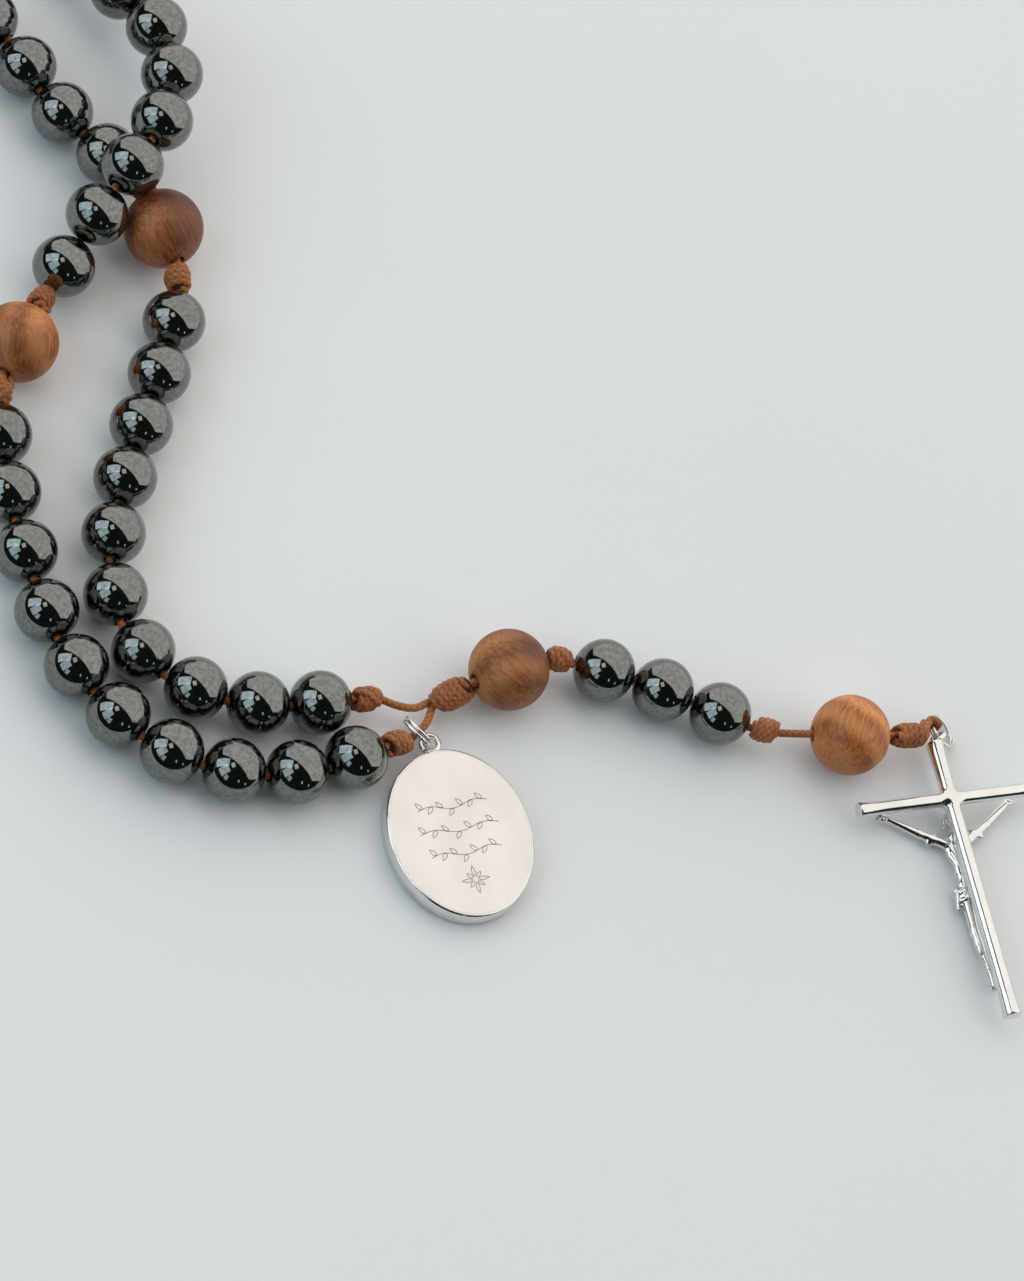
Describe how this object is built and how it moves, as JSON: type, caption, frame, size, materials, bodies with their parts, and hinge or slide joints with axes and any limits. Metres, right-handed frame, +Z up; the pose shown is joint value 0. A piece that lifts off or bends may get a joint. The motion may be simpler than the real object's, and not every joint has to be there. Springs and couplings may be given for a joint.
{
  "type": "rosary",
  "caption": "Five-decade rosary of round dark polished stone beads and wooden beads on a knotted waxed cord, with an oval silver medal and a silver crucifix, laid out on a flat surface.",
  "frame": {"origin": "on the surface the rosary lies on, under the middle of its bounding box", "axes": "+X runs from the far end of the loop towards the crucifix, +Z is up from the surface"},
  "size_m": [0.2544, 0.1186, 0.0141],
  "materials": {
    "hematite": "mirror-polished dark grey hematite with a metallic sheen",
    "wood": "satin, fine grain, cherry to sandalwood brown",
    "cord": "waxed braided cord, rust brown, matt",
    "brushed_silver": "finely brushed faces with a polished rim",
    "polished_silver": "bright polished silver plate"
  },
  "bodies": {
    "loop": {"loop_cord_1": "cord", "loop_cord_2": "cord"},
    "far_lobe": {"decade_2_far_run": "hematite", "decade_3_run": "hematite", "decade_4_far_run": "hematite"},
    "near_lobe": {"near_cord_1": "cord", "near_cord_2": "cord"},
    "junction": {"centre_knot": "cord", "leg_cord_a": "cord", "leg_cord_b": "cord"},
    "pendant_link_1": {"pendant_cord_1": "cord"},
    "pendant_link_2": {"pendant_cord_2": "cord"},
    "pendant_link_3": {"pendant_cord_3": "cord"},
    "pendant_link_4": {"pendant_cord_4": "cord"},
    "pendant_link_5": {"pendant_cord_5": "cord"},
    "ring_of_crucifix": {"crucifix_ring": "polished_silver"},
    "crucifix": {"cross": "polished_silver", "corpus": "polished_silver"},
    "ring_of_medal": {"medal_ring": "polished_silver"},
    "medal_body": {"medal": "brushed_silver"},
    "wood_6": {"wood_bead_6": "wood"},
    "turning_wood_bead_5": {"wood_bead_5": "wood"},
    "turning_pendant_bead_1": {"pendant_bead_1": "hematite"},
    "turning_pendant_bead_2": {"pendant_bead_2": "hematite"},
    "turning_pendant_bead_3": {"pendant_bead_3": "hematite"},
    "turning_wood_bead_1": {"wood_bead_1": "wood"},
    "turning_wood_bead_4": {"wood_bead_4": "wood"},
    "turning_wood_bead_2": {"wood_bead_2": "wood"},
    "turning_wood_bead_3": {"wood_bead_3": "wood"},
    "turning_decade_1_bead_01": {"decade_1_bead_01": "hematite"},
    "turning_decade_1_bead_02": {"decade_1_bead_02": "hematite"},
    "turning_decade_1_bead_03": {"decade_1_bead_03": "hematite"},
    "turning_decade_1_bead_04": {"decade_1_bead_04": "hematite"},
    "turning_decade_1_bead_05": {"decade_1_bead_05": "hematite"},
    "turning_decade_1_bead_06": {"decade_1_bead_06": "hematite"},
    "turning_decade_1_bead_07": {"decade_1_bead_07": "hematite"},
    "turning_decade_1_bead_08": {"decade_1_bead_08": "hematite"},
    "turning_decade_1_bead_09": {"decade_1_bead_09": "hematite"},
    "turning_decade_1_bead_10": {"decade_1_bead_10": "hematite"},
    "turning_decade_2_bead_01": {"decade_2_bead_01": "hematite"},
    "turning_decade_2_bead_02": {"decade_2_bead_02": "hematite"},
    "turning_decade_2_bead_03": {"decade_2_bead_03": "hematite"},
    "turning_decade_2_bead_04": {"decade_2_bead_04": "hematite"},
    "turning_decade_4_bead_04": {"decade_4_bead_04": "hematite"},
    "turning_decade_4_bead_05": {"decade_4_bead_05": "hematite"},
    "turning_decade_4_bead_06": {"decade_4_bead_06": "hematite"},
    "turning_decade_4_bead_07": {"decade_4_bead_07": "hematite"},
    "turning_decade_4_bead_08": {"decade_4_bead_08": "hematite"},
    "turning_decade_4_bead_09": {"decade_4_bead_09": "hematite"},
    "turning_decade_4_bead_10": {"decade_4_bead_10": "hematite"},
    "turning_decade_5_bead_01": {"decade_5_bead_01": "hematite"},
    "turning_decade_5_bead_02": {"decade_5_bead_02": "hematite"},
    "turning_decade_5_bead_03": {"decade_5_bead_03": "hematite"},
    "turning_decade_5_bead_04": {"decade_5_bead_04": "hematite"},
    "turning_decade_5_bead_05": {"decade_5_bead_05": "hematite"},
    "turning_decade_5_bead_06": {"decade_5_bead_06": "hematite"},
    "turning_decade_5_bead_07": {"decade_5_bead_07": "hematite"},
    "turning_decade_5_bead_08": {"decade_5_bead_08": "hematite"},
    "turning_decade_5_bead_09": {"decade_5_bead_09": "hematite"},
    "turning_decade_5_bead_10": {"decade_5_bead_10": "hematite"}
  },
  "joints": [
    {"name": "far_lobe_fold", "type": "hinge", "parent": "loop", "child": "far_lobe", "pos_m": [-0.04956, 0.02494, 0.00453], "axis": [0.6357, 0.7696, 0.0592], "range_deg": [0, 20]},
    {"name": "near_lobe_fold", "type": "hinge", "parent": "loop", "child": "near_lobe", "pos_m": [-0.00054, -0.04279, 0.004], "axis": [-0.6239, -0.7815, 0], "range_deg": [0, 20]},
    {"name": "junction_fold", "type": "hinge", "parent": "near_lobe", "child": "junction", "pos_m": [0.04199, -0.03457, 0.0031], "axis": [0.9263, -0.3768, 0], "range_deg": [0, 12]},
    {"name": "pendant_swing", "type": "hinge", "parent": "junction", "child": "pendant_link_1", "pos_m": [0.04763, -0.02521, 0.0051], "axis": [0, 0, 1], "range_deg": [-12, 12]},
    {"name": "pendant_lift_1", "type": "hinge", "parent": "pendant_link_1", "child": "pendant_link_2", "pos_m": [0.05666, -0.01414, 0.004], "axis": [0.3256, -0.9455, 0], "range_deg": [-4, 10]},
    {"name": "pendant_swing_2", "type": "hinge", "parent": "pendant_link_2", "child": "pendant_link_3", "pos_m": [0.06411, -0.01158, 0.004], "axis": [0, 0, 1], "range_deg": [-12, 12]},
    {"name": "pendant_lift_2", "type": "hinge", "parent": "pendant_link_3", "child": "pendant_link_4", "pos_m": [0.07168, -0.0094, 0.004], "axis": [0.1564, -0.9877, 0], "range_deg": [-4, 12]},
    {"name": "pendant_swing_3", "type": "hinge", "parent": "pendant_link_4", "child": "pendant_link_5", "pos_m": [0.08352, -0.00628, 0.00424], "axis": [0, 0, 1], "range_deg": [-15, 15]},
    {"name": "crucifix_ring_swing", "type": "hinge", "parent": "pendant_link_5", "child": "ring_of_crucifix", "pos_m": [0.09914, 0.00773, 0.003], "axis": [0.4887, -0.8362, 0.2489], "range_deg": [-12, 12]},
    {"name": "crucifix_swing", "type": "hinge", "parent": "ring_of_crucifix", "child": "crucifix", "pos_m": [0.10074, 0.00653, 0.0029], "axis": [-0.9144, 0.2589, 0.3112], "range_deg": [-12, 12]},
    {"name": "medal_ring_swing", "type": "hinge", "parent": "junction", "child": "ring_of_medal", "pos_m": [0.04523, -0.03407, 0.00285], "axis": [-0.1574, -0.9703, 0.1836], "range_deg": [0, 15]},
    {"name": "medal_swing", "type": "hinge", "parent": "ring_of_medal", "child": "medal_body", "pos_m": [0.04729, -0.03397, 0.0016], "axis": [0.3742, -0.5319, 0.7597], "range_deg": [-5, 12]},
    {"name": "wood_bead_6_slide", "type": "slide", "parent": "pendant_link_5", "child": "wood_6", "axis": [-0.8346, -0.542, -0.0984], "range_m": [0, 0.003]},
    {"name": "wood_bead_5_spin", "type": "hinge", "parent": "pendant_link_1", "child": "turning_wood_bead_5", "pos_m": [0.05041, -0.02094, 0.0051], "axis": [0.5446, 0.8387, 0], "continuous": true},
    {"name": "pendant_bead_1_spin", "type": "hinge", "parent": "pendant_link_2", "child": "turning_pendant_bead_1", "pos_m": [0.0604, -0.01285, 0.004], "axis": [0.9455, 0.3256, 0], "continuous": true},
    {"name": "pendant_bead_2_spin", "type": "hinge", "parent": "pendant_link_3", "child": "turning_pendant_bead_2", "pos_m": [0.06792, -0.01048, 0.004], "axis": [0.9613, 0.2756, 0], "continuous": true},
    {"name": "pendant_bead_3_spin", "type": "hinge", "parent": "pendant_link_4", "child": "turning_pendant_bead_3", "pos_m": [0.0756, -0.00878, 0.004], "axis": [0.9877, 0.1564, 0], "continuous": true},
    {"name": "wood_bead_1_spin", "type": "hinge", "parent": "loop", "child": "turning_wood_bead_1", "pos_m": [-0.01693, 0.00492, 0.0051], "axis": [-0.7972, 0.6037, 0], "continuous": true},
    {"name": "wood_bead_4_spin", "type": "hinge", "parent": "loop", "child": "turning_wood_bead_4", "pos_m": [-0.02281, -0.02062, 0.0051], "axis": [0.1674, -0.9859, 0], "continuous": true},
    {"name": "wood_bead_2_spin", "type": "hinge", "parent": "far_lobe", "child": "turning_wood_bead_2", "pos_m": [-0.10808, 0.00513, 0.0051], "axis": [-0.9131, 0.4076, 0], "continuous": true},
    {"name": "wood_bead_3_spin", "type": "hinge", "parent": "far_lobe", "child": "turning_wood_bead_3", "pos_m": [-0.07209, 0.04856, 0.0051], "axis": [0.8507, -0.5256, 0], "continuous": true},
    {"name": "decade_1_bead_01_spin", "type": "hinge", "parent": "near_lobe", "child": "turning_decade_1_bead_01", "pos_m": [0.03339, -0.03884, 0.004], "axis": [-0.7297, -0.6838, 0], "continuous": true},
    {"name": "decade_1_bead_02_spin", "type": "hinge", "parent": "near_lobe", "child": "turning_decade_1_bead_02", "pos_m": [0.02719, -0.0437, 0.004], "axis": [-0.839, -0.5441, 0], "continuous": true},
    {"name": "decade_1_bead_03_spin", "type": "hinge", "parent": "near_lobe", "child": "turning_decade_1_bead_03", "pos_m": [0.01991, -0.04673, 0.004], "axis": [-0.9759, -0.2181, 0], "continuous": true},
    {"name": "decade_1_bead_04_spin", "type": "hinge", "parent": "near_lobe", "child": "turning_decade_1_bead_04", "pos_m": [0.01204, -0.04641, 0.004], "axis": [-0.9548, 0.2974, 0], "continuous": true},
    {"name": "decade_1_bead_05_spin", "type": "hinge", "parent": "near_lobe", "child": "turning_decade_1_bead_05", "pos_m": [0.00524, -0.04199, 0.004], "axis": [-0.6697, 0.7427, 0], "continuous": true},
    {"name": "decade_1_bead_06_spin", "type": "hinge", "parent": "loop", "child": "turning_decade_1_bead_06", "pos_m": [0.00068, -0.03509, 0.004], "axis": [-0.4139, 0.9103, 0], "continuous": true},
    {"name": "decade_1_bead_07_spin", "type": "hinge", "parent": "loop", "child": "turning_decade_1_bead_07", "pos_m": [-0.00223, -0.02766, 0.004], "axis": [-0.3118, 0.9501, 0], "continuous": true},
    {"name": "decade_1_bead_08_spin", "type": "hinge", "parent": "loop", "child": "turning_decade_1_bead_08", "pos_m": [-0.00452, -0.02012, 0.004], "axis": [-0.2703, 0.9628, 0], "continuous": true},
    {"name": "decade_1_bead_09_spin", "type": "hinge", "parent": "loop", "child": "turning_decade_1_bead_09", "pos_m": [-0.00654, -0.0125, 0.004], "axis": [-0.2433, 0.9699, 0], "continuous": true},
    {"name": "decade_1_bead_10_spin", "type": "hinge", "parent": "loop", "child": "turning_decade_1_bead_10", "pos_m": [-0.00895, -0.005, 0.004], "axis": [-0.3648, 0.9311, 0], "continuous": true},
    {"name": "decade_2_bead_01_spin", "type": "hinge", "parent": "loop", "child": "turning_decade_2_bead_01", "pos_m": [-0.02855, 0.01023, 0.004], "axis": [-0.988, 0.1544, 0], "continuous": true},
    {"name": "decade_2_bead_02_spin", "type": "hinge", "parent": "loop", "child": "turning_decade_2_bead_02", "pos_m": [-0.0363, 0.01171, 0.004], "axis": [-0.9755, 0.22, 0], "continuous": true},
    {"name": "decade_2_bead_03_spin", "type": "hinge", "parent": "loop", "child": "turning_decade_2_bead_03", "pos_m": [-0.04368, 0.01448, 0.004], "axis": [-0.8807, 0.4737, 0], "continuous": true},
    {"name": "decade_2_bead_04_spin", "type": "hinge", "parent": "loop", "child": "turning_decade_2_bead_04", "pos_m": [-0.05132, 0.01719, 0.004], "axis": [-0.9812, 0.1932, 0], "continuous": true},
    {"name": "decade_4_bead_04_spin", "type": "hinge", "parent": "loop", "child": "turning_decade_4_bead_04", "pos_m": [-0.04003, 0.03092, 0.00621], "axis": [0.929, -0.2418, 0.2803], "continuous": true},
    {"name": "decade_4_bead_05_spin", "type": "hinge", "parent": "loop", "child": "turning_decade_4_bead_05", "pos_m": [-0.03295, 0.02793, 0.00807], "axis": [0.8401, -0.5103, 0.184], "continuous": true},
    {"name": "decade_4_bead_06_spin", "type": "hinge", "parent": "loop", "child": "turning_decade_4_bead_06", "pos_m": [-0.02747, 0.02239, 0.00926], "axis": [0.521, -0.8464, 0.1105], "continuous": true},
    {"name": "decade_4_bead_07_spin", "type": "hinge", "parent": "loop", "child": "turning_decade_4_bead_07", "pos_m": [-0.02471, 0.01502, 0.01031], "axis": [0.1487, -0.9776, 0.1492], "continuous": true},
    {"name": "decade_4_bead_08_spin", "type": "hinge", "parent": "loop", "child": "turning_decade_4_bead_08", "pos_m": [-0.02425, 0.00715, 0.01018], "axis": [-0.0303, -0.984, -0.1754], "continuous": true},
    {"name": "decade_4_bead_09_spin", "type": "hinge", "parent": "loop", "child": "turning_decade_4_bead_09", "pos_m": [-0.02436, -0.00029, 0.00752], "axis": [0.0046, -0.8704, -0.4923], "continuous": true},
    {"name": "decade_4_bead_10_spin", "type": "hinge", "parent": "loop", "child": "turning_decade_4_bead_10", "pos_m": [-0.02409, -0.0077, 0.00485], "axis": [0.0614, -0.9816, -0.1809], "continuous": true},
    {"name": "decade_5_bead_01_spin", "type": "hinge", "parent": "loop", "child": "turning_decade_5_bead_01", "pos_m": [-0.01775, -0.03239, 0.004], "axis": [0.5902, -0.8072, 0], "continuous": true},
    {"name": "decade_5_bead_02_spin", "type": "hinge", "parent": "loop", "child": "turning_decade_5_bead_02", "pos_m": [-0.01263, -0.03838, 0.004], "axis": [0.7052, -0.709, 0], "continuous": true},
    {"name": "decade_5_bead_03_spin", "type": "hinge", "parent": "loop", "child": "turning_decade_5_bead_03", "pos_m": [-0.00671, -0.04391, 0.004], "axis": [0.7536, -0.6573, 0], "continuous": true},
    {"name": "decade_5_bead_04_spin", "type": "hinge", "parent": "near_lobe", "child": "turning_decade_5_bead_04", "pos_m": [-0.00034, -0.04907, 0.004], "axis": [0.8009, -0.5988, 0], "continuous": true},
    {"name": "decade_5_bead_05_spin", "type": "hinge", "parent": "near_lobe", "child": "turning_decade_5_bead_05", "pos_m": [0.00651, -0.05308, 0.004], "axis": [0.9154, -0.4025, 0], "continuous": true},
    {"name": "decade_5_bead_06_spin", "type": "hinge", "parent": "near_lobe", "child": "turning_decade_5_bead_06", "pos_m": [0.01403, -0.05542, 0.004], "axis": [0.9819, -0.1897, 0], "continuous": true},
    {"name": "decade_5_bead_07_spin", "type": "hinge", "parent": "near_lobe", "child": "turning_decade_5_bead_07", "pos_m": [0.02191, -0.05558, 0.004], "axis": [0.9887, 0.1498, 0], "continuous": true},
    {"name": "decade_5_bead_08_spin", "type": "hinge", "parent": "near_lobe", "child": "turning_decade_5_bead_08", "pos_m": [0.02941, -0.05314, 0.004], "axis": [0.8874, 0.4611, 0], "continuous": true},
    {"name": "decade_5_bead_09_spin", "type": "hinge", "parent": "near_lobe", "child": "turning_decade_5_bead_09", "pos_m": [0.03583, -0.04857, 0.004], "axis": [0.7258, 0.6879, 0], "continuous": true},
    {"name": "decade_5_bead_10_spin", "type": "hinge", "parent": "near_lobe", "child": "turning_decade_5_bead_10", "pos_m": [0.04079, -0.04245, 0.004], "axis": [0.5231, 0.8523, 0], "continuous": true}
  ]
}
